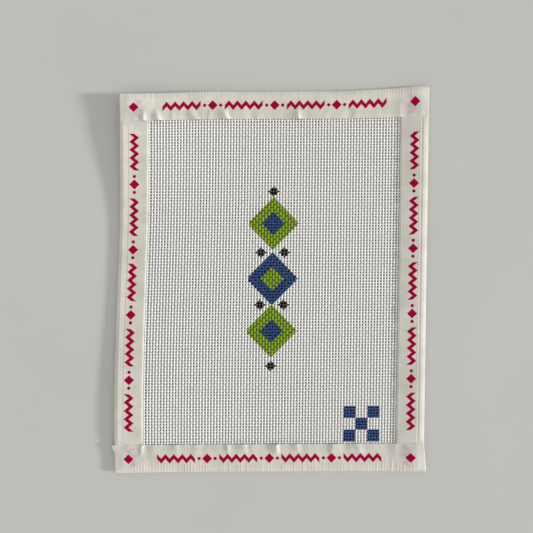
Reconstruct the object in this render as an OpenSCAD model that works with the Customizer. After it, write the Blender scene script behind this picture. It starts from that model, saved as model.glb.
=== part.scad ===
// Needlepoint canvas: a cut of open woven canvas with its four raw edges bound in folded tape, a motif
// painted on its threads and a row of ornament printed on the tape. It lies face up and centred on the
// origin, with the top of the motif towards +Y and the doubled corners of the tape resting on z = 0.
// Lengths are in millimetres.

/* [Canvas] */
// Threads to the inch, both ways
mesh_count = 13; // [10:1:16]
// Warp threads side by side across the width
warp_count = 104; // [100:2:120]
// Weft threads one above the other up the height
weft_count = 130; // [126:2:150]
// Width of a warp thread seen from the front
warp_w = 1.1; // [0.8:0.05:1.2]
// Width of a weft thread seen from the front
weft_w = 0.7; // [0.6:0.05:1.2]
// Thickness of a thread
thread_t = 0.5; // [0.4:0.05:0.6]

/* [Tape] */
// Width of a leaf, from the outside of the fold to the leaf's edge
leaf_w = 18.5; // [14:0.5:20]
// Thickness of the tape
tape_t = 0.25; // [0.15:0.05:0.4]
// Length of the slope where an end tape climbs on to a side tape
climb_l = 1.5; // [1:0.5:3]

/* [Paint] */
// Thickness of the paint on a thread
coat_t = 0.06; // [0.04:0.01:0.08]
// Height of the motif's centre above the canvas's centre
motif_y = 2.5; // [-5:0.5:5]
// Height from the centre of one lozenge to the next
lozenge_step = 36; // [30:1:40]
// Half width of a lozenge
lozenge_half_w = 17; // [12:0.5:20]
// Half height of a lozenge, as a share of the step
lozenge_reach = 0.5; // [0.3:0.05:0.5]
// Size of the heart of a lozenge, as a share of the lozenge
heart = 0.45; // [0.3:0.05:0.6]
// Half size of a bead
bead_half = 3.6; // [2.5:0.1:4]
// Side of one square of the corner check
check_s = 8; // [6:0.5:9]
// Centre of the corner check to the right of the canvas's centre
check_x = 61; // [50:1:65]
// Centre of the corner check below the canvas's centre
check_down = 96; // [80:1:96]

/* [Print] */
// Thickness of the ink on the tape
ink_t = 0.05; // [0.03:0.01:0.08]
// Height of a zigzag
zigzag_h = 6.4; // [4:0.2:7]
// Width of the line of a zigzag, measured across the tape
zigzag_line = 3.2; // [1.5:0.1:3.5]
// Slopes in one zigzag
zigzag_slopes = 9; // [3:2:9]
// Length of one slope along the tape
zigzag_step = 2.8; // [2:0.1:2.8]
// Half size of a diamond
diamond_half = 3.3; // [2:0.1:3.5]
// Radius of a dot
dot_r = 1.1; // [0.6:0.1:1.2]
// Distance of a dot from the diamond it stands beside
dot_gap = 5.3; // [4.5:0.1:6]
// Ornaments along a top or bottom tape
end_repeats = 4; // [3:1:4]
// Ornaments along a side tape
side_repeats = 5; // [3:1:5]

/* [Hidden] */
$fn = 48;

inch = 25.4;
pitch = inch / mesh_count;
canvas_w = warp_count * pitch;
canvas_h = weft_count * pitch;

// The weft lies under the warp, with just room for the paint on the weft between them.
coat_clearance = 0.02;
core_r = thread_t + (coat_t + coat_clearance) / 2;
mid_z = core_r + 2 * tape_t;
warp_z = mid_z + core_r - thread_t / 2;
weft_z = mid_z - core_r + thread_t / 2;

// The tape's inner face is core_r from the canvas's mid plane, and its fold turns about the cut edge.
fold_r = core_r + tape_t;
leaf_run = leaf_w - fold_r;
half_w = canvas_w / 2 + fold_r;
side_leaf_x = half_w - leaf_w;
end_leaf_y = canvas_h / 2 + fold_r - leaf_w;
front_z = mid_z + fold_r;

// Columns: steps from the motif's centre up to the lozenge's centre, its colour, its heart's colour.
LOZENGES = [[1, "lime", "blue"],
            [0, "blue", "lime"],
            [-1, "lime", "blue"]];
// The beads, in steps across and up from the motif's centre: one past each end of the row of lozenges, and a
// pair beside each place where two lozenges meet.
BEADS = [[0, 1.62], [-0.21, 0.5], [0.21, 0.5], [-0.21, -0.5], [0.21, -0.5], [0, -1.62]];
// The squares of the corner check that are painted, in squares across and up from its centre.
CHECK = [[-1, -1], [-1, 1], [0, 0], [1, -1], [1, 1]];
// A painted length shorter than this is left out.
least_run = 0.4;

function warp_x(i) = (i - (warp_count - 1) / 2) * pitch;
function weft_y(j) = (j - (weft_count - 1) / 2) * pitch;
function backwards(list) = [for (i = [len(list) - 1 : -1 : 0]) list[i]];

// The painted lengths of a thread that passes a lozenge's centre at a distance of off. The lozenge
// reaches across one way and along the thread the other way, and hole is the share left for its heart.
function lozenge_runs(off, across, along, hole) =
    let (outer = along * (1 - abs(off) / across), inner = along * (hole - abs(off) / across))
    outer < least_run ? [] :
    inner < least_run ? [[-outer, outer]] : [[-outer, -inner], [inner, outer]];

// The painted length of a thread that passes a square's centre at a distance of off.
function square_runs(off, half) = abs(off) < half ? [[-half, half]] : [];

// Cross-section of a thread: flattened, with round sides.
module thread_section(w, t) {
    square([w - t, t], center = true);
    for (side = [-1, 1])
        translate([side * (w - t) / 2, 0]) circle(d = t);
}

// Cross-section of the paint, over the front half of a thread of width w.
module coat_section(w) {
    difference() {
        thread_section(w + 2 * coat_t, thread_t + 2 * coat_t);
        thread_section(w, thread_t);
        translate([-w, -2 * thread_t]) square([2 * w, 2 * thread_t]);
    }
}

// Carries a section along a warp thread from y0 up to y1.
module along_warp(x, y0, y1) {
    translate([x, y1, warp_z]) rotate([90, 0, 0]) linear_extrude(y1 - y0) children();
}

// Carries a section along a weft thread from x0 across to x1.
module along_weft(y, x0, x1) {
    translate([x0, y, weft_z]) rotate([90, 0, 90]) linear_extrude(x1 - x0) children();
}

module warp_threads() {
    color("ivory")
        for (i = [0 : warp_count - 1])
            along_warp(warp_x(i), -canvas_h / 2, canvas_h / 2) thread_section(warp_w, thread_t);
}

module weft_threads() {
    color("ivory")
        for (j = [0 : weft_count - 1])
            along_weft(weft_y(j), -canvas_w / 2, canvas_w / 2) thread_section(weft_w, thread_t);
}

// A strip of length l with a round end about the origin, reaching r to either side of its middle.
module tongue(r, l) {
    circle(r = r);
    translate([0, -r]) square([l, 2 * r]);
}

// A side tape: one folded section, straight from the bottom edge of the canvas to the top one.
module side_tape() {
    translate([-canvas_w / 2, canvas_h / 2, mid_z]) rotate([90, 0, 0]) linear_extrude(canvas_h)
        difference() {
            tongue(fold_r, leaf_run);
            tongue(core_r, leaf_w);
        }
}

// One face of an end tape, as points of x and distance from the mid plane: level over the canvas,
// with a slope up on to each side tape.
function climbing_line(lift) =
    let (low = core_r + lift, high = low + tape_t, foot = side_leaf_x - climb_l)
    [[-half_w, high], [-side_leaf_x, high], [-foot, low], [foot, low], [side_leaf_x, high], [half_w, high]];

// An end tape: the same climbing strip is drawn out into the two leaves and turned half round into the fold.
module end_tape() {
    strip = concat(climbing_line(0), backwards(climbing_line(tape_t)));
    translate([0, canvas_h / 2, mid_z]) {
        rotate([0, -90, 0]) rotate_extrude(angle = 180) polygon([for (p = strip) [p.y, p.x]]);
        for (face = [0, 1])
            mirror([0, 0, face]) rotate([90, 0, 0]) linear_extrude(leaf_run) polygon(strip);
    }
}

module tape_left() { color("linen") side_tape(); }
module tape_right() { color("linen") mirror([1, 0, 0]) side_tape(); }
module tape_top() { color("linen") end_tape(); }
module tape_bottom() { color("linen") mirror([0, 1, 0]) end_tape(); }

// Paint on every thread that a lozenge covers, apart from the share that is left for its heart.
module painted_lozenge(centre, half, hole = 0) {
    for (i = [0 : warp_count - 1], run = lozenge_runs(warp_x(i) - centre.x, half.x, half.y, hole))
        along_warp(warp_x(i), centre.y + run[0], centre.y + run[1]) coat_section(warp_w);
    for (j = [0 : weft_count - 1], run = lozenge_runs(weft_y(j) - centre.y, half.y, half.x, hole))
        along_weft(weft_y(j), centre.x + run[0], centre.x + run[1]) coat_section(weft_w);
}

module painted_square(centre, half) {
    for (i = [0 : warp_count - 1], run = square_runs(warp_x(i) - centre.x, half))
        along_warp(warp_x(i), centre.y + run[0], centre.y + run[1]) coat_section(warp_w);
    for (j = [0 : weft_count - 1], run = square_runs(weft_y(j) - centre.y, half))
        along_weft(weft_y(j), centre.x + run[0], centre.x + run[1]) coat_section(weft_w);
}

// All the lozenges and hearts of one colour.
module lozenges_in(paint) {
    size = [lozenge_half_w, lozenge_reach * lozenge_step];
    for (row = LOZENGES) {
        centre = [0, motif_y + row[0] * lozenge_step];
        if (row[1] == paint) painted_lozenge(centre, size, heart);
        if (row[2] == paint) painted_lozenge(centre, heart * size);
    }
}

module paint_lime() { color("yellowgreen") lozenges_in("lime"); }

module paint_blue() {
    color("midnightblue") {
        lozenges_in("blue");
        for (cell = CHECK)
            painted_square([check_x, -check_down] + check_s * cell, check_s / 2 - coat_t);
    }
}

module paint_black() {
    color("black")
        for (bead = BEADS)
            painted_lozenge([0, motif_y] + lozenge_step * bead, [bead_half, bead_half]);
}

module diamond(half) { circle(r = half, $fn = 4); }

// A band that goes up and down in straight slopes, centred on the origin.
module zigzag() {
    function line(lift) = [for (k = [0 : zigzag_slopes])
        [(k - zigzag_slopes / 2) * zigzag_step, (k % 2 - 0.5) * (zigzag_h - zigzag_line) + lift]];
    polygon(concat(line(-zigzag_line / 2), backwards(line(zigzag_line / 2))));
}

// A row of ornament: a zigzag in the middle of each repeat, and a diamond between two dots at each join.
module ornament_row(length, repeats) {
    step = length / repeats;
    for (k = [0 : repeats - 1])
        translate([(k - (repeats - 1) / 2) * step, 0]) zigzag();
    for (k = [1 : repeats - 1])
        translate([(k - repeats / 2) * step, 0]) {
            diamond(diamond_half);
            for (side = [-1, 1])
                translate([side * dot_gap, 0]) circle(r = dot_r);
        }
}

module tape_ink() {
    row_x = half_w - leaf_w / 2;
    row_y = canvas_h / 2 + fold_r - leaf_w / 2;
    color("crimson") {
        for (side = [-1, 1]) {
            translate([side * row_x, 0, front_z]) rotate([0, 0, 90]) linear_extrude(ink_t)
                ornament_row(2 * end_leaf_y, side_repeats);
            translate([0, side * row_y, front_z]) linear_extrude(ink_t)
                ornament_row(2 * (side_leaf_x - climb_l), end_repeats);
        }
        for (across = [-1, 1], up = [-1, 1])
            translate([across * row_x, up * row_y, front_z + tape_t]) linear_extrude(ink_t)
                diamond(diamond_half);
    }
}

warp_threads();
weft_threads();
tape_left();
tape_right();
tape_top();
tape_bottom();
paint_lime();
paint_blue();
paint_black();
tape_ink();
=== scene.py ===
"""Needlepoint canvas: open plain-woven canvas with its raw edges bound in folded tape, a motif painted on
its threads and a row of ornament printed on the tape. It lies face up on a pale table and is seen from
straight above.

Every piece is worked out on a flat canvas first, and lie_of_cloth then lays it as the limp cloth lies.
Lengths are in metres.
"""

import math

import bpy
import numpy as np
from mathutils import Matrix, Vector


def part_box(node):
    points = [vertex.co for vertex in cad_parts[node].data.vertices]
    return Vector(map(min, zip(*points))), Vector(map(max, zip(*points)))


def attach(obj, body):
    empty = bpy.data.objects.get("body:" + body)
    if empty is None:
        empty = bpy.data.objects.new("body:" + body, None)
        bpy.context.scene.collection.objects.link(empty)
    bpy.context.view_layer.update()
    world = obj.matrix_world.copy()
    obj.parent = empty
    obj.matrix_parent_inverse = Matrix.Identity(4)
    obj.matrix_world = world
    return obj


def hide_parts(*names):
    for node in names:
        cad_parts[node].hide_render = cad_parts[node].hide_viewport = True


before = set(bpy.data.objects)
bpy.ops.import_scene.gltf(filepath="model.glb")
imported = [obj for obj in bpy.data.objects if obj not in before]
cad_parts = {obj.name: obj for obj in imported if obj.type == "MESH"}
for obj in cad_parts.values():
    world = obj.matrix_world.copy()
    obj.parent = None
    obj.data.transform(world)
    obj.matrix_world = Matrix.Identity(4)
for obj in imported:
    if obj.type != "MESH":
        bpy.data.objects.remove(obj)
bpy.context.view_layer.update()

bl_info = {
    "name": "Needlepoint canvas",
    "version": (1, 0, 0),
    "blender": (4, 5, 0),
    "location": "View3D > Sidebar > Canvas",
    "description": "Weaves, binds, paints and prints a needlepoint canvas, and sets it on a table",
    "category": "Add Mesh",
}

MM = 0.001
INCH = 0.0254
BODY = "root"

# Measures that come from the solids
WARP_LOW, WARP_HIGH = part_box("warp_threads")
WEFT_LOW, WEFT_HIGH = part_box("weft_threads")
LEFT_LOW, LEFT_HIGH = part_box("tape_left")
CANVAS_W = WEFT_HIGH.x - WEFT_LOW.x
CANVAS_H = WARP_HIGH.y - WARP_LOW.y
MID_Z = (WARP_HIGH.z + WEFT_LOW.z) / 2
CORE_R = (WARP_HIGH.z - WEFT_LOW.z) / 2
FOLD_R = (LEFT_HIGH.z - LEFT_LOW.z) / 2
TAPE_T = FOLD_R - CORE_R
LEAF_W = LEFT_HIGH.x - LEFT_LOW.x
HALF_W = -LEFT_LOW.x
HALF_H = CANVAS_H / 2 + FOLD_R
WINDOW_X = HALF_W - LEAF_W
WINDOW_Y = HALF_H - LEAF_W

# Where the bends of the lying cloth start and end, as shares of its half width or half height
CURL_LIMIT = 1.1
LOW_RISE = (0.0, 0.7)
LOW_FALL = (0.75, 1.0)
TOP_RISE = (0.24, 1.02)
FLARE_ACROSS = (0.35, 1.0)
FLARE_UP = (0.75, 1.0)
DROOP_ACROSS = (0.35, 1.0)
DROOP_UP = (0.6, 1.0)
# Share of the rise above the bottom corner that is lost again at the corner itself
LOW_FALL_SHARE = 0.5
# Where the top tape and the right tape start and stop to rise
TOP_BEND = (HALF_H - 12 * MM, HALF_H)
RIGHT_BEND = (WINDOW_X - 4 * MM, HALF_W - 3 * MM)
# Turn of the left edge's sine wave, in radians for each half height
SWAY_TURN = 3


def length_property(name, description, default):
    """A length that the user may change, in metres."""
    return bpy.props.FloatProperty(
        name=name, description=description, default=default, unit="LENGTH", precision=5)


def share_property(name, description, default):
    """A plain share that the user may change."""
    return bpy.props.FloatProperty(
        name=name, description=description, default=default, min=-1, max=1, subtype="FACTOR", precision=4)


def count_property(name, description, default):
    """A count that the user may change, of at least one."""
    return bpy.props.IntProperty(name=name, description=description, default=default, min=1)


def colour_property(name, description, default):
    """A colour that the user may change, in scene-linear red, green and blue."""
    return bpy.props.FloatVectorProperty(
        name=name, description=description, default=default, subtype="COLOR", size=3, min=0, max=1)


class CanvasSizes(bpy.types.PropertyGroup):
    """The weave, and how the finished cloth lies on the table."""

    threads_per_inch: bpy.props.IntProperty(
        name="Threads to the inch", description="Gauge of the mesh, both ways", default=13, min=8, max=18)
    warp_width: length_property("Warp width", "Width of a thread that runs up the canvas", 1.07 * MM)
    weft_width: length_property("Weft width", "Width of a thread that runs across the canvas", 0.78 * MM)
    warp_thickness: length_property(
        "Warp thickness", "Thickness of a thread that runs up the canvas", 0.5 * MM)
    weft_thickness: length_property(
        "Weft thickness", "Thickness of a thread that runs across the canvas", 0.5 * MM)
    warp_crimp: length_property(
        "Warp crimp", "Rise and fall of a warp thread as it passes over and under", 0.18 * MM)
    weft_crimp: length_property(
        "Weft crimp", "Rise and fall of a weft thread as it passes over and under", 0.24 * MM)
    weft_drop: length_property("Weft drop", "How far the weft lies below the warp on the whole", 0.02 * MM)
    stray: length_property("Stray", "How far threads stray from even spacing", 0.03 * MM)
    skew_x: share_property("Skew of the warp", "Lean of the warp to the right, for each length up", 0.0145)
    skew_y: share_property("Skew of the weft", "Climb of the weft, for each length to the right", 0.0055)
    spread: share_property("Spread", "Share by which the cloth is drawn wider and shorter", 0.0057)
    sway: length_property("Sway", "How far the left edge swings in and out along its length", 1 * MM)
    left_lift: length_property(
        "Left edge lift", "Height of the left edge off the table at its middle", 0.3 * MM)
    top_lift: length_property(
        "Top corner lift", "What the left edge rises by from its middle to its top", 5.6 * MM)
    low_lift: length_property(
        "Bottom corner lift", "What the left edge rises by from its middle towards its bottom", 1.3 * MM)
    billow: length_property("Billow", "How far the middle of the canvas stands off the table", 1.5 * MM)
    right_lift: length_property("Right edge lift", "How far the right edge stands off the table", 1.5 * MM)
    edge_lift: length_property(
        "Top edge lift", "How far the top edge stands off the table, apart from its right end", 0.6 * MM)
    flare: length_property("Flare", "How far the tape stands out at the top right corner", 2.45 * MM)
    droop: length_property("Droop", "How far the top left corner is drawn downwards", 2.2 * MM)


class TapeSizes(bpy.types.PropertyGroup):
    """The binding tape and its print."""

    swell: length_property("Swell", "How far the middle of the front leaf stands off the canvas", 0.7 * MM)
    ridge: length_property(
        "Ridge", "Height of the threads that show through the tape beside the fold", 0.16 * MM)
    roll: length_property(
        "Roll", "Height of the padded roll along the fold, and depth of the groove inside it", 0.14 * MM)
    ruffle: length_property("Ruffle", "Height of the small waves along the front leaf's edge", 0.16 * MM)
    climb: length_property(
        "Climb", "Length of the slope where an end tape's leaf edge climbs on to a side tape", 1.5 * MM)
    overlap: length_property(
        "Overlap", "How much further the left tape reaches over the canvas than the others", 0.35 * MM)
    slant: length_property(
        "Slanted end", "How far the slanted cut of the bottom tape stands out at the left", 2.3 * MM)
    splay: length_property(
        "Splayed end", "How far the fold of the bottom tape stands out at the right", 1.6 * MM)
    ink: length_property("Ink", "Thickness of the ink", 0.05 * MM)
    zigzag_h: length_property("Zigzag height", "Height of a printed zigzag", 6.4 * MM)
    zigzag_line: length_property("Zigzag line", "Width of the line of a zigzag, across the tape", 3.2 * MM)
    zigzag_step: length_property("Zigzag step", "Length of one slope of a zigzag", 2.8 * MM)
    zigzag_slopes: count_property("Zigzag slopes", "Slopes in one zigzag", 9)
    diamond: length_property("Diamond", "Half size of a printed diamond", 3.3 * MM)
    dot: length_property("Dot", "Radius of a printed dot", 1.1 * MM)
    dot_gap: length_property("Dot gap", "Distance of a dot from its diamond", 5.3 * MM)
    end_repeats: count_property("Repeats on an end tape", "Ornaments along a top or bottom tape", 4)
    side_repeats: count_property("Repeats on a side tape", "Ornaments along a side tape", 5)


class MotifSizes(bpy.types.PropertyGroup):
    """The painted design."""

    coat: length_property("Coat", "Thickness of the paint on a thread", 0.05 * MM)
    centre_y: length_property(
        "Centre height", "Height of the motif's centre above the canvas's centre", 2.5 * MM)
    half_w: length_property("Lozenge half width", "Half width of a lozenge", 17 * MM)
    half_h: length_property("Lozenge half height", "Half height of a lozenge", 18 * MM)
    heart: share_property("Heart", "Size of a lozenge's heart, as a share of the lozenge", 0.45)
    step: length_property("Step", "Height from one lozenge to the next", 36 * MM)
    bead: length_property("Bead", "Half size of a bead", 3.6 * MM)
    check: length_property("Check", "Side of a square of the corner check", 8 * MM)
    check_x: length_property("Check across", "Centre of the corner check, to the right", 61 * MM)
    check_y: length_property("Check up", "Centre of the corner check, upwards", -96 * MM)


class Finishes(bpy.types.PropertyGroup):
    """Colours of the yarn, tape, paints, ink and table."""

    warp: colour_property("Warp", "Sized white cotton of the warp", (0.95, 0.945, 0.915))
    weft: colour_property("Weft", "Sized white cotton of the weft", (0.89, 0.88, 0.85))
    tape: colour_property("Tape", "Ivory satin tape", (0.665, 0.635, 0.56))
    tape_shade: colour_property("Tape shade", "Tape where it is soiled", (0.58, 0.555, 0.48))
    ghost: colour_property(
        "Show-through", "Print of a covered tape, seen through the tape above", (0.50, 0.32, 0.40))
    lime: colour_property("Lime paint", "Lime green paint", (0.263, 0.435, 0.0025))
    blue: colour_property("Blue paint", "Navy blue paint", (0.009, 0.050, 0.215))
    black: colour_property("Black paint", "Black paint", (0.007, 0.007, 0.006))
    ink: colour_property("Ink", "Raspberry ink on the tape", (0.330, 0.0002, 0.031))
    table: colour_property("Table", "Pale table top", (0.545, 0.545, 0.515))


def smooth_step(value, start, end):
    """0 before start, 1 after end, and 3t2 - 2t3 between them."""
    t = np.clip((value - start) / (end - start), 0, 1)
    return t * t * (3 - 2 * t)


def ramp(value, size, shares):
    """smooth_step between two shares of a size."""
    start, end = shares
    return smooth_step(value, start * size, end * size)


def lie_of_cloth(points, sizes):
    """Where points of the flat canvas come to lie.

    The cloth is drawn a little wider and shorter and is skewed both ways, and its middle stands off the
    table in a dome, one less the square of the share across times the same up. Its left half curls up as
    the square of the distance from the middle, most at the top corner and a little above the bottom one, and
    its left edge swings in and out in a sine wave. The right tape rises in a smooth step towards its fold,
    and the top tape a little, apart from its right end. The tape is drawn out upwards at the top right
    corner and downwards at the top left one, in smooth steps, more the nearer the fold.
    """
    x, y, z = np.moveaxis(np.asarray(points, float), -1, 0)
    curl = np.clip(-x / HALF_W, 0, CURL_LIMIT) ** 2
    low_rise = ramp(-y, HALF_H, LOW_RISE) - LOW_FALL_SHARE * ramp(-y, HALF_H, LOW_FALL)
    top_rise = ramp(y, HALF_H, TOP_RISE)
    lift = curl * (sizes.left_lift + sizes.low_lift * low_rise + sizes.top_lift * top_rise)
    top_edge = smooth_step(y, *TOP_BEND) * smooth_step(-x, -HALF_W, -HALF_W / 2)
    right_edge = smooth_step(x, *RIGHT_BEND)
    lift = lift + sizes.edge_lift * top_edge + sizes.right_lift * right_edge
    dome = sizes.billow * np.clip(1 - (x / HALF_W) ** 2, 0, 1) * np.clip(1 - (y / HALF_H) ** 2, 0, 1)
    flare = sizes.flare * ramp(x, HALF_W, FLARE_ACROSS) * ramp(y, HALF_H, FLARE_UP)
    droop = sizes.droop * ramp(-x, HALF_W, DROOP_ACROSS) * ramp(y, HALF_H, DROOP_UP)
    sway = sizes.sway * np.sin(SWAY_TURN * y / HALF_H) * ((1 - x / HALF_W) / 2) ** 2
    return np.stack([
        x * (1 + sizes.spread) + sizes.skew_x * y + sway,
        y * (1 - sizes.spread) + sizes.skew_y * x + flare - droop,
        z + lift + dome,
    ], -1)


def finish_piece(name, points, faces, material, replaced, smooth_angle=None):
    """Makes an object of points and of arrays of faces, smooth but for edges sharper than the angle, with its
    place in its mesh, its material and the body that carries it, and hides the parts that it stands for."""
    corners = np.concatenate([np.asarray(f).reshape(-1) for f in faces])
    starts = np.concatenate([np.full(len(f), len(f[0])) for f in faces])
    starts = np.concatenate([[0], np.cumsum(starts)[:-1]])
    mesh = bpy.data.meshes.new(name)
    mesh.vertices.add(len(points))
    mesh.vertices.foreach_set("co", np.asarray(points, np.float32).reshape(-1))
    mesh.loops.add(len(corners))
    mesh.loops.foreach_set("vertex_index", corners.astype(np.int32))
    mesh.polygons.add(len(starts))
    mesh.polygons.foreach_set("loop_start", starts.astype(np.int32))
    mesh.polygons.foreach_set("use_smooth", np.ones(len(starts), bool))
    mesh.update(calc_edges=True)
    mesh.validate()
    if smooth_angle is not None:
        mesh.set_sharp_from_angle(angle=smooth_angle)
    mesh.materials.append(material)
    piece = bpy.data.objects.new(name, mesh)
    bpy.context.scene.collection.objects.link(piece)
    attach(piece, BODY)
    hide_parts(*replaced)
    return piece


def add_value(piece, name, values):
    """Gives the piece a value at each point, for its material to read."""
    layer = piece.data.attributes.new(name, "FLOAT", "POINT")
    layer.data.foreach_set("value", np.asarray(values, np.float32).reshape(-1))


def tube_faces(tubes, rings, sides, first=0):
    """Quads round and along every tube, and one face at each end. Point k of ring r of tube t has the number
    first + (t * rings + r) * sides + k, and the points of a ring go round the way that the tube points."""
    t, r, k = np.meshgrid(np.arange(tubes), np.arange(rings - 1), np.arange(sides), indexing="ij")

    def number(ring, side):
        """Numbers of the points at that ring and side of every tube."""
        return first + (t * rings + ring) * sides + side % sides

    quads = np.stack([number(r, k), number(r, k + 1), number(r + 1, k + 1), number(r + 1, k)], -1)
    ends = first + np.arange(tubes)[:, None] * rings * sides + np.arange(sides)
    return [quads.reshape(-1, 4), ends[:, ::-1], ends + (rings - 1) * sides]


def sheet_faces(rows, columns):
    """Quads of a closed thick sheet: its front, its back, and the rims that join them.

    Point (r, c) of the front has the number r * columns + c, and the back follows with the same order."""
    front = np.arange(rows * columns).reshape(rows, columns)
    back = front + rows * columns

    def between(a, b, c, d):
        """Quads from four grids of corners."""
        return np.stack([a.ravel(), b.ravel(), c.ravel(), d.ravel()], -1)

    return [np.concatenate([
        between(front[:-1, :-1], front[1:, :-1], front[1:, 1:], front[:-1, 1:]),
        between(back[:-1, :-1], back[:-1, 1:], back[1:, 1:], back[1:, :-1]),
        between(front[:-1, 0], back[:-1, 0], back[1:, 0], front[1:, 0]),
        between(front[:-1, -1], front[1:, -1], back[1:, -1], back[:-1, -1]),
        between(front[0, :-1], front[0, 1:], back[0, 1:], back[0, :-1]),
        between(front[-1, :-1], back[-1, :-1], back[-1, 1:], front[-1, 1:]),
    ])]


def outwards(points, faces):
    """The same faces, turned round if the closed shape that they make is inside out: if the volumes of the
    pyramids from the origin to its faces add up to less than nothing."""
    volume = 0.0
    for group in faces:
        corner = points[group]
        for k in range(1, group.shape[1] - 1):
            volume += np.einsum("ij,ij->", corner[:, 0], np.cross(corner[:, k], corner[:, k + 1]))
    return faces if volume > 0 else [group[:, ::-1] for group in faces]


class Weave:
    """One set of threads of the plain weave: the warp, or the weft that crosses it."""

    # Five points round a thread, two of them on its face, starting at its side, and how unshaded each is:
    # the painted shade is darkest behind, darker down the flanks and none on the face
    TURNS = np.radians([-18.0, 54.0, 126.0, 198.0, 270.0])
    UNSHADED = np.array([0.25, 1.0, 1.0, 0.25, 0.0])
    FRONT = [0, 1, 2, 3]
    # How much of the warp's unshaded share the weft's paint keeps: painted shade that makes the weft's paint
    # darker, as it lies deeper in the warp's shadow
    WEFT_PAINT_SHADE = 0.12
    # Least distance of a ring of paint from the end of the painted length
    LEAST_STEP = 0.05 * MM
    # A covered thread has its rings far apart up to this share of its half length, and close from there on
    EVEN_TO = 0.75
    FAR_RINGS = 16
    CLOSE_RINGS = 8
    # How far under the tape the last ring before a thread's end lies, as a share of the leaf's width
    UNDER_TAPE = 0.55
    WARP_SEED = 11
    WEFT_SEED = 12

    def __init__(self, sizes, is_warp):
        """Threads lie a pitch apart, each off its place by a normal draw. In the open a thread has two rings
        at each crossing, a quarter of a pitch to each side of it, and goes up and down by turns."""
        self.sizes = sizes
        self.is_warp = is_warp
        self.pitch = INCH / sizes.threads_per_inch
        pitch = self.pitch
        across, along = (CANVAS_W, CANVAS_H) if is_warp else (CANVAS_H, CANVAS_W)
        open_across, open_along = (WINDOW_X, WINDOW_Y) if is_warp else (WINDOW_Y, WINDOW_X)
        self.width = sizes.warp_width if is_warp else sizes.weft_width
        self.thickness = sizes.warp_thickness if is_warp else sizes.weft_thickness
        self.crimp = sizes.warp_crimp if is_warp else sizes.weft_crimp
        count = round(across / pitch)
        crossings = round(along / pitch)
        self.order = np.arange(count)
        place = (self.order - (count - 1) / 2) * pitch
        rng = np.random.default_rng(self.WARP_SEED if is_warp else self.WEFT_SEED)
        self.place = place + rng.normal(0, sizes.stray, count)
        self.tone = rng.uniform(0, 1, count)
        self.open = np.abs(place) < open_across + pitch / 2
        cross_order = np.arange(crossings)
        cross_place = (cross_order - (crossings - 1) / 2) * pitch
        seen = np.abs(cross_place) < open_along + pitch / 2
        quarter = np.array([-0.25, 0.25]) * pitch
        rings = (cross_place[seen][:, None] + quarter).ravel()
        half = along / 2
        # The top and right ends of the cloth bend most, so threads have more rings under the tape there
        under_tape = open_along + self.UNDER_TAPE * LEAF_W
        self.stations = np.concatenate([[-half], rings, [under_tape, half]])
        self.wave = np.concatenate([[0], np.repeat((-1.0) ** cross_order[seen], 2), [0, 0]])
        even_to = self.EVEN_TO * half
        self.hidden_stations = np.concatenate([
            np.linspace(-half, even_to, self.FAR_RINGS), np.linspace(even_to, half, self.CLOSE_RINGS)[1:]])

    def rise(self, number, stations):
        """Height of a thread at stations along it: level over or under each crossing thread, with straight
        slopes between, over where the sum of the two threads' numbers is even, and under where it is odd."""
        wave = (-1.0) ** number * self.crimp * np.interp(stations, self.stations, self.wave)
        return wave if self.is_warp else -wave - self.sizes.weft_drop

    def section(self, stations, number, grow=0.0, turns=TURNS):
        """Rings of points round thread number at the stations. A ring is a flattened circle, grown outwards
        by grow, and stands square to the thread's slope."""
        rise = self.rise(number, stations)
        near = self.pitch / 4
        slope = (self.rise(number, stations + near) - self.rise(number, stations - near)) / (2 * near)
        lean = 1 / np.sqrt(1 + slope ** 2)
        side = (self.width / 2 + grow) * np.cos(turns)
        up = (self.thickness / 2 + grow) * np.sin(turns)
        along = stations[:, None] - (slope * lean)[:, None] * up
        height = MID_Z + rise[:, None] + lean[:, None] * up
        across = np.broadcast_to(side, along.shape)
        if self.is_warp:
            return np.stack([self.place[number] - across, along, height], -1)
        return np.stack([along, self.place[number] + across, height], -1)

    def threads(self):
        """Points, faces, and tone and unshaded share of each point, of all the threads: woven in the open, and
        plain where tape covers them. The unshaded share drives the painted shade down the threads' flanks."""
        points, faces, tones, first = [], [], [], 0
        sides = len(self.TURNS)
        for chosen, stations in ((self.open, self.stations), (~self.open, self.hidden_stations)):
            numbers = self.order[chosen]
            points += [self.section(stations, number).reshape(-1, 3) for number in numbers]
            faces += tube_faces(len(numbers), len(stations), sides, first)
            tones.append(np.repeat(self.tone[numbers], len(stations) * sides))
            first += len(numbers) * len(stations) * sides
        return np.concatenate(points), faces, np.concatenate(tones), np.tile(self.UNSHADED, first // sides)

    def coat(self, number, start, end, thickness, first):
        """A skin of paint over the front of a thread from start to end, as a closed shell: its points, its
        faces, numbered from first, and how unshaded each point is, for the painted shade down its flanks and
        on the weft."""
        inside = (self.stations > start + self.LEAST_STEP) & (self.stations < end - self.LEAST_STEP)
        stations = np.concatenate([[start], self.stations[inside], [end]])
        turns = self.TURNS[self.FRONT]
        outer = self.section(stations, number, thickness, turns)
        inner = self.section(stations, number, -thickness, turns)
        rings = np.concatenate([outer, inner[:, ::-1]], 1)
        # Painted shade on the paint: darker down the flanks, and darker still on the weft, in the warp's
        # shadow
        unshaded = self.UNSHADED[self.FRONT] * (1.0 if self.is_warp else self.WEFT_PAINT_SHADE)
        unshaded = np.tile(np.concatenate([unshaded, unshaded[::-1]]), len(stations))
        return rings.reshape(-1, 3), tube_faces(1, len(stations), 2 * len(turns), first), unshaded


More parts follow.
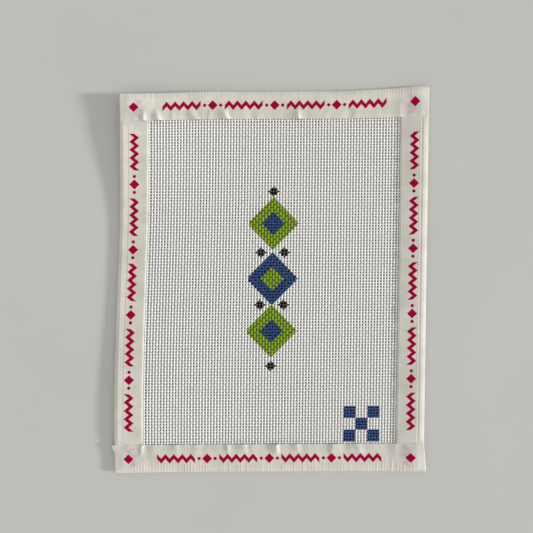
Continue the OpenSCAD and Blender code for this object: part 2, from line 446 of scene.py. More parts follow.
class Tape:
    """One binding tape. Its own measures are along the tape, depth in from its outer edge, and height."""

    # Bends of the front leaf where the tape was drawn tight, in millimetres, for each tape: place along it,
    # height, width of the slope before it and of the slope after it, and lean as a share
    PUCKERS = {
        "left": [(20, 0.4, 3.0, 3.0, 0.2), (-70, 0.5, 2.6, 2.6, -0.2)],
        "right": [(64, 0.7, 1.6, 1.6, 0.05), (-20, 0.4, 2.8, 2.8, 0.2)],
        "top": [
            (-86.6, 1.2, 2.0, 1.2, 0.0), (-76.6, 1.7, 4.2, 1.6, -0.3), (-67.7, 0.6, 2.0, 1.5, 0.0),
            (-52.4, 1.5, 4.0, 2.4, -0.5), (-31.4, 1.7, 4.0, 1.5, -0.35), (-44, 0.5, 1.8, 1.8, 0.2),
            (15.8, 1.5, 5.0, 1.4, -0.1), (34, 0.4, 2.0, 2.0, 0.3)],
        "bottom": [
            (-84.2, 0.8, 1.0, 0.9, -0.1), (-62, 0.6, 2.0, 2.0, 0.2), (-27.7, 0.7, 2.0, 1.0, 0.1),
            (-16.8, 1.0, 3.2, 1.6, 0.15), (4.7, 1.6, 3.4, 1.2, 0.1), (18, 0.5, 1.9, 1.9, 0.3),
            (42, 0.9, 1.2, 3.0, -0.2), (58, 0.9, 3.0, 2.0, 0.4)],
    }
    # How far a pucker reaches in from the leaf's edge, and the share of that at which it has its full height
    PUCKER_REACH = 9 * MM
    PUCKER_FULL = 0.3
    # For each tape: width of the slope up from its fold and of the slope down to the edge of its front leaf,
    # share by which the leaf falls between them, least and greatest height of the ridges as shares of the
    # usual, least and greatest reach of a ridge from the fold, and how far in the ridges lie from the threads
    FORMS = {
        "left": (1.8 * MM, 1.2 * MM, 0.1, 1.1, 1.8, 9 * MM, 9 * MM, 0.5 * MM),
        "right": (3.5 * MM, 1.2 * MM, 0.4, 1.1, 1.8, 9 * MM, 9 * MM, -0.3 * MM),
        "top": (3.5 * MM, 2.5 * MM, 0.3, 0.3, 1.4, 4 * MM, 8 * MM, 0),
        "bottom": (3.5 * MM, 4 * MM, 0.3, 0.3, 2.2, 6 * MM, 11 * MM, 0),
    }
    # By how many times its length at the leaf's edge an end tape's climb is longer at the fold
    CLIMB_GROWTH = 4
    # Length over which the leaf of a side tape, and of an end tape, is pressed flat towards its end
    SIDE_PRESSED = 4 * MM
    END_PRESSED = 6 * MM
    # Depth and width of the roll along the fold, and of the groove inside it
    ROLL = (2.6 * MM, 1.0 * MM)
    GROOVE = (4.5 * MM, 0.6 * MM)
    # Lengths of the waves of the ruffles, each for one radian, and the share of the depth where they start
    RUFFLE_LENGTHS = (2.1 * MM, 1.3 * MM, 11 * MM)
    RUFFLE_START = 0.35
    # Ridges past the outer warp threads, which the tape goes beyond
    SPARE_RIDGES = 4
    # Share of a ridge's height that is left past its reach, share by which it wavers, and lengths of that
    # waver, each for one radian
    RIDGE_REST = 0.2
    WAVER = 0.2
    WAVER_LENGTHS = (7.3 * MM, 19 * MM, 5 * MM)
    # Share of the depth from which the slanted end stands out
    SLANT_START = 0.65
    # Grid of the tape: steps to a thread's pitch where ridges show, other steps along a side tape and across
    # an end tape, width of the finer edge, and points over that edge, the fold, the back leaf and an end
    PITCH_STEPS = 4
    SIDE_STEP = 2 * MM
    END_ACROSS_STEP = 0.75 * MM
    EDGE_W = 2 * MM
    EDGE_POINTS = 9
    FOLD_POINTS = 11
    BACK_POINTS = 10
    END_POINTS = 7

    def __init__(self, name, sizes, cloth):
        """Draws the height and the reach of the ridge over each warp thread evenly between their limits. The
        four names differ in length, which is the seed of a tape's draws."""
        self.name = name
        self.sizes = sizes
        self.pitch = INCH / cloth.threads_per_inch
        self.is_side = name in ("left", "right")
        self.half_length = CANVAS_H / 2 if self.is_side else HALF_W
        self.run_in, self.run_out, self.tilt, *ridges, self.shift = self.FORMS[name]
        lowest, highest, nearest, furthest = ridges
        rng = np.random.default_rng(len(name))
        count = round(CANVAS_W / self.pitch) + self.SPARE_RIDGES
        self.ridge_height = rng.uniform(lowest, highest, count)
        self.ridge_reach = rng.uniform(nearest, furthest, count)

    def radius(self, along, depth):
        """Distance of the tape's middle layer from the canvas's mid plane. Near each of its ends an end tape
        climbs over the side tape in a smooth step, longer the nearer the fold, and then bends round the side
        tape's fold in a circle."""
        level = CORE_R + TAPE_T / 2
        if self.is_side:
            return np.full_like(along, level)
        from_middle = np.abs(along)
        climb = self.sizes.climb * (1 + self.CLIMB_GROWTH * (1 - depth / LEAF_W))
        high = level + TAPE_T * smooth_step(from_middle, WINDOW_X - climb, WINDOW_X)
        past_fold = np.clip(from_middle - (HALF_W - FOLD_R), 0, FOLD_R)
        return np.sqrt(high ** 2 - past_fold ** 2)

    def pressed(self, along):
        """How freely the front leaf stands off, from 1 down to 0: a side tape is pressed flat where it goes
        under an end tape, and an end tape is flat at its cut ends."""
        reach, run = (WINDOW_Y, self.SIDE_PRESSED) if self.is_side else (HALF_W, self.END_PRESSED)
        return smooth_step(-np.abs(along), -reach, run - reach)

    def relief(self, along, depth):
        """How far the front leaf stands off its plain form: a low swell that runs out at the leaf's edge, on
        a side tape a roll along the fold with a groove inside it, both bell curves, the ridges of the warp
        threads under the tape, ruffles made of sine waves, and puckers that are bell curves with two unlike
        sides. Ruffles and puckers fade out towards the fold."""
        run_out = smooth_step(-depth, -LEAF_W, self.run_out - LEAF_W)
        run_in = smooth_step(depth, 0, self.run_in)
        swell = self.sizes.swell * run_in * run_out * (1 - self.tilt * depth / LEAF_W)
        roll, groove = (np.exp(-((depth - place) / width) ** 2) for place, width in (self.ROLL, self.GROOVE))
        roll = (roll - groove) * self.is_side
        first, second, third = (along / length for length in self.RUFFLE_LENGTHS)
        wave = np.sin(first) + np.sin(second + 1) * np.sin(third)
        ruffle = self.sizes.ruffle * wave * smooth_step(depth, self.RUFFLE_START * LEAF_W, LEAF_W)
        total = swell + self.sizes.roll * roll + ruffle + self.ridges(along, depth)
        from_edge = LEAF_W - depth
        fade = smooth_step(-from_edge, -self.PUCKER_REACH, -self.PUCKER_FULL * self.PUCKER_REACH)
        for place, height, before, after, lean in self.PUCKERS[self.name]:
            off = along - place * MM - lean * from_edge
            off = off / (np.where(off < 0, before, after) * MM)
            total = total + height * MM * np.exp(-off ** 2) * fade
        return total * self.pressed(along)

    def ridges(self, along, depth):
        """Height of the ridges of the warp threads: a raised cosine over each thread, which fades out at the
        thread's own reach from the fold and wavers a little along the tape."""
        across_warp = HALF_W - depth + self.shift if self.is_side else along
        thread = np.floor(across_warp / self.pitch).astype(int)
        comb = 0.5 - 0.5 * np.cos(2 * np.pi * across_warp / self.pitch)
        reach = self.ridge_reach[thread]
        fade = self.RIDGE_REST + (1 - self.RIDGE_REST) * smooth_step(-depth, -reach, -reach / 2)
        short, long, slant = self.WAVER_LENGTHS
        waver = 1 - self.WAVER + self.WAVER * np.sin(along / short) * np.sin(along / long + depth / slant)
        return self.sizes.ridge * self.ridge_height[thread] * comb * fade * waver

    def place(self, along, depth, height):
        """Points of the flat canvas for the tape's own measures. The bottom tape stands out in smooth steps
        at both of its ends."""
        height = MID_Z + height
        if self.name == "left":
            return np.stack([depth * (1 + self.sizes.overlap / LEAF_W) - HALF_W, along, height], -1)
        if self.name == "right":
            return np.stack([HALF_W - depth, along, height], -1)
        if self.name == "top":
            return np.stack([along, HALF_H - depth, height], -1)
        slanted = self.sizes.slant * smooth_step(depth, self.SLANT_START * LEAF_W, LEAF_W)
        slanted = slanted * smooth_step(-along, WINDOW_X, HALF_W)
        splayed = self.sizes.splay * (1 - depth / LEAF_W) * smooth_step(along, WINDOW_X, HALF_W)
        return np.stack([along - slanted + splayed, depth - HALF_H, height], -1)

    def front_height(self, along, depth):
        """Height of the front leaf's face above the mid plane."""
        return self.radius(along, depth) + TAPE_T / 2 + self.relief(along, depth)

    def strip(self):
        """Front and back points of the tape on one grid, along it and round from the front leaf's edge over
        the fold to the back leaf's edge. The fold is half a turn about the cut edge of the canvas."""
        ridge_step = self.pitch / self.PITCH_STEPS
        step = self.SIDE_STEP if self.is_side else ridge_step
        across_step = ridge_step if self.is_side else self.END_ACROSS_STEP
        straight = self.half_length - FOLD_R
        along = np.linspace(-straight, straight, round(2 * straight / step) + 1)
        end = straight + FOLD_R * np.sin(np.linspace(0, np.pi / 2, self.END_POINTS))[1:]
        along = np.concatenate([-end[::-1], along, end])
        inner = LEAF_W - self.EDGE_W
        edge = np.linspace(LEAF_W, inner, self.EDGE_POINTS)[:-1]
        leaf = np.linspace(inner, FOLD_R, round((inner - FOLD_R) / across_step) + 1)
        leaf = np.concatenate([edge, leaf])
        fold = np.linspace(0, np.pi, self.FOLD_POINTS)[1:-1]
        back = np.linspace(FOLD_R, LEAF_W, self.BACK_POINTS)
        depth = np.concatenate([leaf, np.full(len(fold), FOLD_R), back])
        turn = np.concatenate([np.zeros(len(leaf)), fold, np.full(len(back), np.pi)])
        along, depth = np.meshgrid(along, depth, indexing="ij")
        turn = np.broadcast_to(turn, along.shape)
        middle = self.radius(along, depth) + self.relief(along, depth) * np.cos(turn / 2) ** 2
        faces = [middle + TAPE_T / 2, middle - TAPE_T / 2]
        grids = [self.place(along, depth - r * np.sin(turn), r * np.cos(turn)) for r in faces]
        return grids, along, depth, turn


def new_material(name, roughness, sheen=0.0, specular=0.3):
    """A material with one Principled shader, and its node tree, shader and object coordinates."""
    material = bpy.data.materials.new(name)
    material.use_nodes = True
    tree = material.node_tree
    shader = tree.nodes["Principled BSDF"]
    shader.inputs["Roughness"].default_value = roughness
    shader.inputs["Sheen Weight"].default_value = sheen
    shader.inputs["Specular IOR Level"].default_value = specular
    coordinates = tree.nodes.new("ShaderNodeTexCoord").outputs["Object"]
    return material, tree, shader, coordinates


def scaled(colour, share, lift=0.0):
    """The colour times share, plus lift."""
    return tuple(share * part + lift for part in colour)


def stretched(tree, coordinates, scale):
    """The coordinates, scaled by a different amount along each axis."""
    node = tree.nodes.new("ShaderNodeMapping")
    node.inputs["Scale"].default_value = scale
    tree.links.new(coordinates, node.inputs["Vector"])
    return node.outputs["Vector"]


def noise(tree, coordinates, scale, detail=2.0):
    """Value of a noise pattern, with about scale blots to each unit of the coordinates."""
    node = tree.nodes.new("ShaderNodeTexNoise")
    node.inputs["Scale"].default_value = scale
    node.inputs["Detail"].default_value = detail
    tree.links.new(coordinates, node.inputs["Vector"])
    return node.outputs["Fac"]


def mixed(tree, factor, low, high, limits=(0.3, 0.7)):
    """A colour that goes from low to high as the factor goes between the limits."""
    node = tree.nodes.new("ShaderNodeValToRGB")
    for element, place, colour in zip(node.color_ramp.elements, limits, (low, high)):
        element.position = place
        element.color = (*colour, 1)
    tree.links.new(factor, node.inputs["Fac"])
    return node.outputs["Color"]


def blended(tree, factor, low, high):
    """A colour that goes from low to high with the factor. A colour is a value or the output of a node."""
    node = tree.nodes.new("ShaderNodeMix")
    node.data_type = "RGBA"
    tree.links.new(factor, node.inputs["Factor"])
    for name, colour in (("A", low), ("B", high)):
        if isinstance(colour, bpy.types.NodeSocket):
            tree.links.new(colour, node.inputs[name])
        else:
            node.inputs[name].default_value = (*colour, 1)
    return node.outputs["Result"]


def added(tree, first, second, share):
    """first plus share times second."""
    node = tree.nodes.new("ShaderNodeMath")
    node.operation = "MULTIPLY_ADD"
    tree.links.new(second, node.inputs[0])
    node.inputs[1].default_value = share
    tree.links.new(first, node.inputs[2])
    return node.outputs["Value"]


def value_of(tree, name):
    """A value that the piece has at each point."""
    node = tree.nodes.new("ShaderNodeAttribute")
    node.attribute_name = name
    return node.outputs["Fac"]


def raise_bumps(tree, shader, height, strength, distance):
    """Bumps of that height pattern on the shader."""
    node = tree.nodes.new("ShaderNodeBump")
    node.inputs["Strength"].default_value = strength
    node.inputs["Distance"].default_value = distance
    tree.links.new(height, node.inputs["Height"])
    tree.links.new(node.outputs["Normal"], shader.inputs["Normal"])


def yarn_material(name, colour, along_y):
    """Sized cotton: fine fibres drawn out along the thread, each thread a little lighter or darker, and white
    on its face, with painted shade that makes it duller down its flanks and behind."""
    material, tree, shader, coordinates = new_material(name, roughness=0.85, sheen=0.1, specular=0.2)
    fibre_scale = (4000, 700, 4000) if along_y else (700, 4000, 4000)
    fibres = noise(tree, stretched(tree, coordinates, fibre_scale), scale=1.0, detail=3.0)
    shade = added(tree, fibres, value_of(tree, "tone"), share=0.35)
    face = mixed(tree, shade, scaled(colour, share=0.92), colour, limits=(0.35, 0.8))
    # Painted shade: the thread's flanks and back are darker, as where less light falls
    yarn_flank_shade = scaled(colour, share=0.55)
    tree.links.new(blended(tree, value_of(tree, "unshaded"), yarn_flank_shade, face), shader.inputs["Base Color"])
    raise_bumps(tree, shader, fibres, strength=0.1, distance=0.05 * MM)
    return material


def tape_material(colours):
    """Satin tape: fine cross ribs, faint soiling in broad blots, painted shade that makes it a little darker
    and cooler where nothing backs it but the shadowed open canvas, and the print of the tape beneath it
    showing through where two tapes lie on each other."""
    material, tree, shader, coordinates = new_material("satin_tape", roughness=0.5, sheen=0.35, specular=0.35)
    blots = noise(tree, coordinates, scale=90, detail=6.0)
    grain_scale = (2600, 2600, 600)
    grain = noise(tree, stretched(tree, coordinates, grain_scale), scale=1.0)
    soil = added(tree, blots, grain, share=0.25)
    soil_limits = (0.45, 0.72)
    # Painted shade: darker, cooler colours where only the shadowed open canvas lies behind the tape
    see_through_shade_tint = (0.955, 0.96, 0.975)
    full_colours = (colours.tape_shade, colours.tape)
    see_through_shade_colours = [tuple(np.multiply(colour, see_through_shade_tint)) for colour in full_colours]
    backed, see_through_shade = (mixed(tree, soil, *pair, limits=soil_limits) for pair in (full_colours, see_through_shade_colours))
    base = blended(tree, value_of(tree, "backed_unshaded"), see_through_shade, backed)
    ghosted = blended(tree, value_of(tree, "show_through"), base, colours.ghost)
    tree.links.new(ghosted, shader.inputs["Base Color"])
    raise_bumps(tree, shader, grain, strength=0.25, distance=0.05 * MM)
    return material


def paint_material(name, colour):
    """Brushed acrylic: thinner and paler in streaks, with painted shade that makes it darker on the weft and
    down a thread's flanks.
    """
    material, tree, shader, coordinates = new_material(name, roughness=0.7, specular=0.02)
    streak_scale = (900, 2200, 900)
    streaks = noise(tree, stretched(tree, coordinates, streak_scale), scale=1.0, detail=3.0)
    face = mixed(tree, streaks, colour, scaled(colour, share=1.35, lift=0.004), limits=(0.45, 0.8))
    # Painted shade: the colour on the flanks and on the weft, where the paint lies in shadow
    paint_flank_shade = scaled(colour, share=0.25)
    tree.links.new(blended(tree, value_of(tree, "unshaded"), paint_flank_shade, face), shader.inputs["Base Color"])
    raise_bumps(tree, shader, streaks, strength=0.25, distance=0.06 * MM)
    return material


def ink_material(colours):
    """Printed ink, a little uneven in depth."""
    material, tree, shader, coordinates = new_material("printed_ink", roughness=0.75, specular=0.02)
    uneven = noise(tree, coordinates, scale=900, detail=3.0)
    pale = scaled(colours.ink, share=1.12, lift=0.0015)
    tree.links.new(mixed(tree, uneven, colours.ink, pale, limits=(0.4, 0.75)), shader.inputs["Base Color"])
    return material


def table_material(colours):
    """Matt painted table top with the faintest mottling."""
    material, tree, shader, coordinates = new_material("table_top", roughness=0.7, specular=0.25)
    mottle = noise(tree, coordinates, scale=9, detail=3.0)
    darker = scaled(colours.table, share=0.97)
    tree.links.new(mixed(tree, mottle, darker, colours.table), shader.inputs["Base Color"])
    return material


class CANVAS_OT_weave(bpy.types.Operator):
    """Weave the open canvas: warp and weft, each passing over and under the other"""

    bl_idname = "canvas.weave"
    bl_label = "Weave the canvas"

    def execute(self, context):
        sizes = context.scene.canvas_sizes
        pieces = {}
        for yarn in ("warp", "weft"):
            name = "canvas_" + yarn
            is_warp = yarn == "warp"
            points, faces, tones, unshaded = Weave(sizes, is_warp).threads()
            material = yarn_material("cotton_" + yarn, getattr(context.scene.canvas_finishes, yarn), is_warp)
            points = lie_of_cloth(points, sizes)
            pieces[name] = finish_piece(name, points, faces, material, [yarn + "_threads"])
            add_value(pieces[name], "tone", tones)
            # The unshaded share drives the painted shade down the flanks and behind each thread
            add_value(pieces[name], "unshaded", unshaded)
        return {"FINISHED"}


class CANVAS_OT_bind(bpy.types.Operator):
    """Fold the four binding tapes over the raw edges"""

    bl_idname = "canvas.bind"
    bl_label = "Bind the edges"

    # Depths, as shares of the leaf's width, to which the tape is backed and unshaded, and from which it is
    # bare behind and carries the full painted shade of the open canvas seen through it
    BACKED_TO = 0.15
    BARE_FROM = 0.6
    # Print that shows through: its middle and where it starts and ends as shares of the leaf's width, the
    # fading edge of its line as shares of the line's width, and its strength
    GHOST_MIDDLE = 0.62
    GHOST_START = (0.15, 0.3)
    GHOST_END = (0.85, 0.95)
    GHOST_EDGE = (0.3, 0.8)
    GHOST_STRENGTH = 0.5
    # Largest turn about the fold, in radians, at which a point still counts as on the front leaf
    FRONT_TURN = 0.1

    def execute(self, context):
        sizes = context.scene.canvas_sizes
        material = tape_material(context.scene.canvas_finishes)
        for name in ("left", "right", "top", "bottom"):
            tape = Tape(name, context.scene.canvas_tape, sizes)
            (front, back), along, depth, turn = tape.strip()
            faces = sheet_faces(*along.shape)
            points = lie_of_cloth(np.concatenate([front.reshape(-1, 3), back.reshape(-1, 3)]), sizes)
            faces = outwards(points, faces)
            piece = finish_piece("binding_" + name, points, faces, material, ["tape_" + name],
                                 smooth_angle=math.radians(50))
            ghost = self.show_through(tape, along, depth, turn)
            add_value(piece, "show_through", np.tile(ghost.ravel(), 2))
            # Painted shade: 1 where the tape keeps its full colour, 0 where it is darker and cooler towards
            # the leaf's edge
            backed_unshaded = smooth_step(-depth, -self.BARE_FROM * LEAF_W, -self.BACKED_TO * LEAF_W)
            add_value(piece, "backed_unshaded", np.tile(backed_unshaded.ravel(), 2))
        return {"FINISHED"}

    def show_through(self, tape, along, depth, turn):
        """A faint zigzag on each end of an end tape, over the print of the side tape that it covers. It goes
        up and down in straight slopes, and its edges and ends fade in smooth steps."""
        if tape.is_side:
            return np.zeros(along.shape)
        sizes = tape.sizes
        bend = (np.abs(depth / sizes.zigzag_step % 2 - 1) - 0.5) * (sizes.zigzag_h - sizes.zigzag_line)
        off = np.abs(np.abs(along) - (HALF_W - self.GHOST_MIDDLE * LEAF_W) + bend)
        across = 1 - ramp(off, sizes.zigzag_line, self.GHOST_EDGE)
        within = ramp(depth, LEAF_W, self.GHOST_START) * (1 - ramp(depth, LEAF_W, self.GHOST_END))
        return self.GHOST_STRENGTH * across * within * (turn < self.FRONT_TURN)


class CANVAS_OT_paint(bpy.types.Operator):
    """Paint the motif and the corner check on the threads"""

    bl_idname = "canvas.paint"
    bl_label = "Paint the motif"

    # Lozenges from the top down: steps up from the centre, colour, colour of the heart
    LOZENGES = [(1, "lime", "blue"), (0, "blue", "lime"), (-1, "lime", "blue")]
    # Beads past both ends of the row of lozenges and beside each place where two of them meet, in steps
    # across and up from the centre
    BEADS = [(0, 1.62), (-0.21, 0.5), (0.21, 0.5), (-0.21, -0.5), (0.21, -0.5), (0, -1.62)]
    # Painted squares of the corner check, in squares across and up from its centre
    CHECK = [(-1, -1), (-1, 1), (0, 0), (1, -1), (1, 1)]
    # Least length, to one side of a shape's middle, that is painted on a thread or left out of its paint
    SHORTEST = 0.4 * MM
    # How much the brush rounds off the tips of a lozenge
    BLUNT = 1.1 * MM

    def execute(self, context):
        motif = context.scene.canvas_motif
        weaves = [Weave(context.scene.canvas_sizes, is_warp) for is_warp in (True, False)]
        for colour in ("lime", "blue", "black"):
            points, faces, unshaded, first = [], [], [], 0
            for weave in weaves:
                for number, start, end in self.runs(weave, colour, motif):
                    shell, shell_faces, shell_unshaded = weave.coat(number, start, end, motif.coat, first)
                    points.append(shell)
                    faces += shell_faces
                    unshaded.append(shell_unshaded)
                    first += len(shell)
            points = lie_of_cloth(np.concatenate(points), context.scene.canvas_sizes)
            # Each shell has an array of quads and one for each of its two ends
            faces = [np.concatenate(group) for group in (faces[0::3], faces[1::3] + faces[2::3])]
            faces = outwards(points, faces)
            material = paint_material("acrylic_" + colour, getattr(context.scene.canvas_finishes, colour))
            piece = finish_piece("motif_" + colour, points, faces, material,
                                 ["paint_" + colour], smooth_angle=math.radians(60))
            # The unshaded share drives the painted shade of the paint on the flanks and the weft
            add_value(piece, "unshaded", np.concatenate(unshaded))
        return {"FINISHED"}

    def shapes(self, colour, motif):
        """Shapes of one colour: centre across and up, half width, half height, share cut out, and whether
        it is a lozenge."""
        for steps, outer, heart in self.LOZENGES:
            up = motif.centre_y + steps * motif.step
            if outer == colour:
                yield 0, up, motif.half_w, motif.half_h, motif.heart, True
            if heart == colour:
                yield 0, up, motif.heart * motif.half_w, motif.heart * motif.half_h, 0, True
        if colour == "black":
            for across, up in self.BEADS:
                yield across * motif.step, motif.centre_y + up * motif.step, motif.bead, motif.bead, 0, True
        if colour == "blue":
            half = motif.check / 2 - motif.coat
            for across, up in self.CHECK:
                x = motif.check_x + across * motif.check
                y = motif.check_y + up * motif.check
                yield x, y, half, half, 0, False

    def runs(self, weave, colour, motif):
        """Painted lengths of threads. A thread is painted from side to side of a square. On a lozenge it is
        painted for the half length times one less the share of the half width at which it passes the centre,
        a little less at the tips, and the heart is cut out of it."""
        for x, y, half_w, half_h, hole, is_lozenge in self.shapes(colour, motif):
            if is_lozenge:
                # Centred on a hole of the mesh, a lozenge comes out the same to both sides
                x, y = (round(place / weave.pitch) * weave.pitch for place in (x, y))
            along, across = (y, x) if weave.is_warp else (x, y)
            reach, half = (half_h, half_w) if weave.is_warp else (half_w, half_h)
            for number in weave.order:
                off = abs(weave.place[number] - across) / half
                outer = min(reach * (1 - off), reach - self.BLUNT) if is_lozenge else reach * (off < 1)
                inner = min(reach * (hole - off), reach * hole - self.BLUNT)
                if outer < self.SHORTEST:
                    continue
                if inner < self.SHORTEST:
                    yield number, along - outer, along + outer
                else:
                    yield number, along - outer, along - inner
                    yield number, along + inner, along + outer


class CANVAS_OT_print(bpy.types.Operator):
    """Print the row of ornament on the tapes"""

    bl_idname = "canvas.print_tape"
    bl_label = "Print the tapes"

    # Grids of the shapes: steps along a slope of a zigzag, and points across its line, a diamond and a dot
    SLOPE_STEPS = 12
    LINE_POINTS = 7
    DIAMOND_POINTS = 17
    DOT_POINTS = 9

    def execute(self, context):
        self.sizes = context.scene.canvas_tape
        cloth = context.scene.canvas_sizes
        points, faces, first = [], [], 0
        for name in ("left", "right", "top", "bottom"):
            tape = Tape(name, self.sizes, cloth)
            for along, across in self.row(tape):
                film = self.film(tape, along, LEAF_W / 2 + across)
                points.append(film)
                faces.append(outwards(film, sheet_faces(*along.shape))[0] + first)
                first += len(film)
        points = lie_of_cloth(np.concatenate(points), cloth)
        material = ink_material(context.scene.canvas_finishes)
        finish_piece("tape_print", points, [np.concatenate(faces)], material, ["tape_ink"],
                     smooth_angle=math.radians(40))
        return {"FINISHED"}

    def film(self, tape, along, depth):
        """Front and back points of a film of ink that follows the face of the tape."""
        face = tape.front_height(along, depth)
        sides = [tape.place(along, depth, face + lift * self.sizes.ink) for lift in (1, -1)]
        return np.concatenate([side.reshape(-1, 3) for side in sides])

    def row(self, tape):
        """Grids along and across the tape for each printed shape: a zigzag in the middle of each repeat, a
        diamond between two dots at each join, and a diamond on each end of an end tape."""
        sizes = self.sizes
        half = WINDOW_Y if tape.is_side else WINDOW_X - sizes.climb
        repeats = sizes.side_repeats if tape.is_side else sizes.end_repeats
        step = 2 * half / repeats
        for k in range(repeats):
            yield self.zigzag((k - (repeats - 1) / 2) * step)
        for k in range(1, repeats):
            join = (k - repeats / 2) * step
            yield self.diamond(join)
            yield self.dot(join - sizes.dot_gap)
            yield self.dot(join + sizes.dot_gap)
        if not tape.is_side:
            yield self.diamond(HALF_W - LEAF_W / 2)
            yield self.diamond(LEAF_W / 2 - HALF_W)

    def zigzag(self, centre):
        """A band whose middle goes up and down in straight slopes, like the arcsine of a sine."""
        sizes = self.sizes
        half = sizes.zigzag_slopes * sizes.zigzag_step / 2
        along = np.linspace(-half, half, self.SLOPE_STEPS * sizes.zigzag_slopes + 1)
        along, across = np.meshgrid(along, np.linspace(-0.5, 0.5, self.LINE_POINTS), indexing="ij")
        slopes = (along + half) / sizes.zigzag_step
        middle = np.abs(slopes % 2 - 1) - 0.5
        return along + centre, middle * (sizes.zigzag_h - sizes.zigzag_line) + across * sizes.zigzag_line

    def diamond(self, centre):
        """A square grid turned by an eighth of a turn."""
        side = np.linspace(-0.5, 0.5, self.DIAMOND_POINTS)
        u, v = np.meshgrid(side, side, indexing="ij")
        return centre + (u + v) * self.sizes.diamond, (u - v) * self.sizes.diamond

    def dot(self, centre):
        """A square grid blown out into a disc: each square ring of it becomes a circle."""
        side = np.linspace(-1, 1, self.DOT_POINTS)
        u, v = np.meshgrid(side, side, indexing="ij")
        return (centre + self.sizes.dot * u * np.sqrt(1 - v ** 2 / 2),
                self.sizes.dot * v * np.sqrt(1 - u ** 2 / 2))


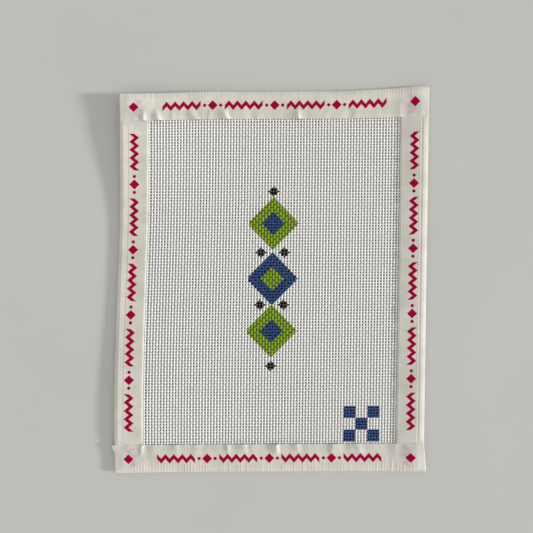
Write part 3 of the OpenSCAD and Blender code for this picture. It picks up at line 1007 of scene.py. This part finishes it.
class CANVAS_OT_stage(bpy.types.Operator):
    """Set the table, the light and the camera"""

    bl_idname = "canvas.stage"
    bl_label = "Set the stage"

    TABLE_HALF = 6.0
    CAMERA_HEIGHT = 0.5
    CLIP_START = 0.01
    # Width of the view at the height of the canvas, and where the camera looks on the table
    VIEW_WIDTH = 0.3571
    AIM = (-3.7 * MM, 10.1 * MM)
    # Low soft key light from the right, turned a little towards the bottom of the picture, and light from all
    # round, which is brighter from the bottom of the picture by the share that SKY_LEAN gives
    KEY_ELEVATION = math.radians(16)
    KEY_TURN = math.radians(5)
    KEY_STRENGTH = 2.9
    KEY_ANGLE = math.radians(7)
    SKY_STRENGTH = 0.7
    SKY_LEAN = (0.0, -0.15, 0.0)

    def execute(self, context):
        self.lay_table(context)
        self.light(context)
        self.set_camera(context)
        context.scene.view_settings.view_transform = "Standard"
        return {"FINISHED"}

    def lay_table(self, context):
        """One large flat square at the height on which the canvas lies."""
        half = self.TABLE_HALF
        mesh = bpy.data.meshes.new("table")
        corners = [(-half, -half, 0), (half, -half, 0), (half, half, 0), (-half, half, 0)]
        mesh.from_pydata(corners, [], [(0, 1, 2, 3)])
        mesh.materials.append(table_material(context.scene.canvas_finishes))
        table = bpy.data.objects.new("table", mesh)
        context.scene.collection.objects.link(table)

    def light(self, context):
        """A sun, and a sky whose strength is SKY_STRENGTH times one plus the direction's share of SKY_LEAN.
        Past the table's edge the camera and reflections see the table's colour."""
        key = bpy.data.lights.new("key", "SUN")
        key.energy = self.KEY_STRENGTH
        key.angle = self.KEY_ANGLE
        lamp = bpy.data.objects.new("key", key)
        lamp.rotation_euler = (0, math.pi / 2 - self.KEY_ELEVATION, -self.KEY_TURN)
        context.scene.collection.objects.link(lamp)
        world = bpy.data.worlds.new("sky")
        world.use_nodes = True
        context.scene.world = world
        tree = world.node_tree
        sky = tree.nodes["Background"]
        sky.inputs["Color"].default_value = (1, 1, 1, 1)
        lean = tree.nodes.new("ShaderNodeVectorMath")
        lean.operation = "DOT_PRODUCT"
        lean.inputs[1].default_value = self.SKY_LEAN
        tree.links.new(tree.nodes.new("ShaderNodeTexCoord").outputs["Generated"], lean.inputs[0])
        strength = tree.nodes.new("ShaderNodeMath")
        strength.operation = "MULTIPLY_ADD"
        strength.inputs[1].default_value = self.SKY_STRENGTH
        strength.inputs[2].default_value = self.SKY_STRENGTH
        tree.links.new(lean.outputs["Value"], strength.inputs[0])
        tree.links.new(strength.outputs["Value"], sky.inputs["Strength"])
        seen = tree.nodes.new("ShaderNodeBackground")
        seen.inputs["Color"].default_value = (*context.scene.canvas_finishes.table, 1)
        path = tree.nodes.new("ShaderNodeLightPath")
        shows = path.outputs["Is Camera Ray"]
        for kind in ("Is Glossy Ray", "Is Transmission Ray"):
            either = tree.nodes.new("ShaderNodeMath")
            either.operation = "MAXIMUM"
            tree.links.new(shows, either.inputs[0])
            tree.links.new(path.outputs[kind], either.inputs[1])
            shows = either.outputs["Value"]
        choice = tree.nodes.new("ShaderNodeMixShader")
        tree.links.new(shows, choice.inputs["Fac"])
        tree.links.new(sky.outputs["Background"], choice.inputs[1])
        tree.links.new(seen.outputs["Background"], choice.inputs[2])
        tree.links.new(choice.outputs["Shader"], tree.nodes["World Output"].inputs["Surface"])

    def set_camera(self, context):
        """A camera that looks straight down."""
        data = bpy.data.cameras.new("camera")
        data.lens = data.sensor_width * (self.CAMERA_HEIGHT - MID_Z) / self.VIEW_WIDTH
        data.clip_start = self.CLIP_START
        camera = bpy.data.objects.new("camera", data)
        camera.location = (*self.AIM, self.CAMERA_HEIGHT)
        context.scene.collection.objects.link(camera)
        context.scene.camera = camera


class CANVAS_PT_panel(bpy.types.Panel):
    """Sizes, colours and steps of the needlepoint canvas"""

    bl_idname = "CANVAS_PT_panel"
    bl_label = "Needlepoint canvas"
    bl_space_type = "VIEW_3D"
    bl_region_type = "UI"
    bl_category = "Canvas"

    def draw(self, context):
        for group_name in GROUPS:
            group = getattr(context.scene, group_name)
            box = self.layout.box()
            for name in group.__annotations__:
                box.prop(group, name)
        for step in STEPS:
            self.layout.operator(step.bl_idname)


GROUPS = {
    "canvas_sizes": CanvasSizes,
    "canvas_tape": TapeSizes,
    "canvas_motif": MotifSizes,
    "canvas_finishes": Finishes,
}
STEPS = (CANVAS_OT_weave, CANVAS_OT_bind, CANVAS_OT_paint, CANVAS_OT_print, CANVAS_OT_stage)


def register():
    """Adds the property groups to the scene, and the operators and the panel to Blender."""
    for name, group in GROUPS.items():
        bpy.utils.register_class(group)
        setattr(bpy.types.Scene, name, bpy.props.PointerProperty(type=group))
    for cls in (*STEPS, CANVAS_PT_panel):
        bpy.utils.register_class(cls)


def unregister():
    """Takes away what register added, the last first."""
    for cls in (CANVAS_PT_panel, *reversed(STEPS)):
        bpy.utils.unregister_class(cls)
    for name, group in reversed(GROUPS.items()):
        delattr(bpy.types.Scene, name)
        bpy.utils.unregister_class(group)


def main():
    """Makes all the pieces and the stage."""
    register()
    bpy.ops.canvas.weave()
    bpy.ops.canvas.bind()
    bpy.ops.canvas.paint()
    bpy.ops.canvas.print_tape()
    bpy.ops.canvas.stage()


if __name__ == "__main__":
    main()
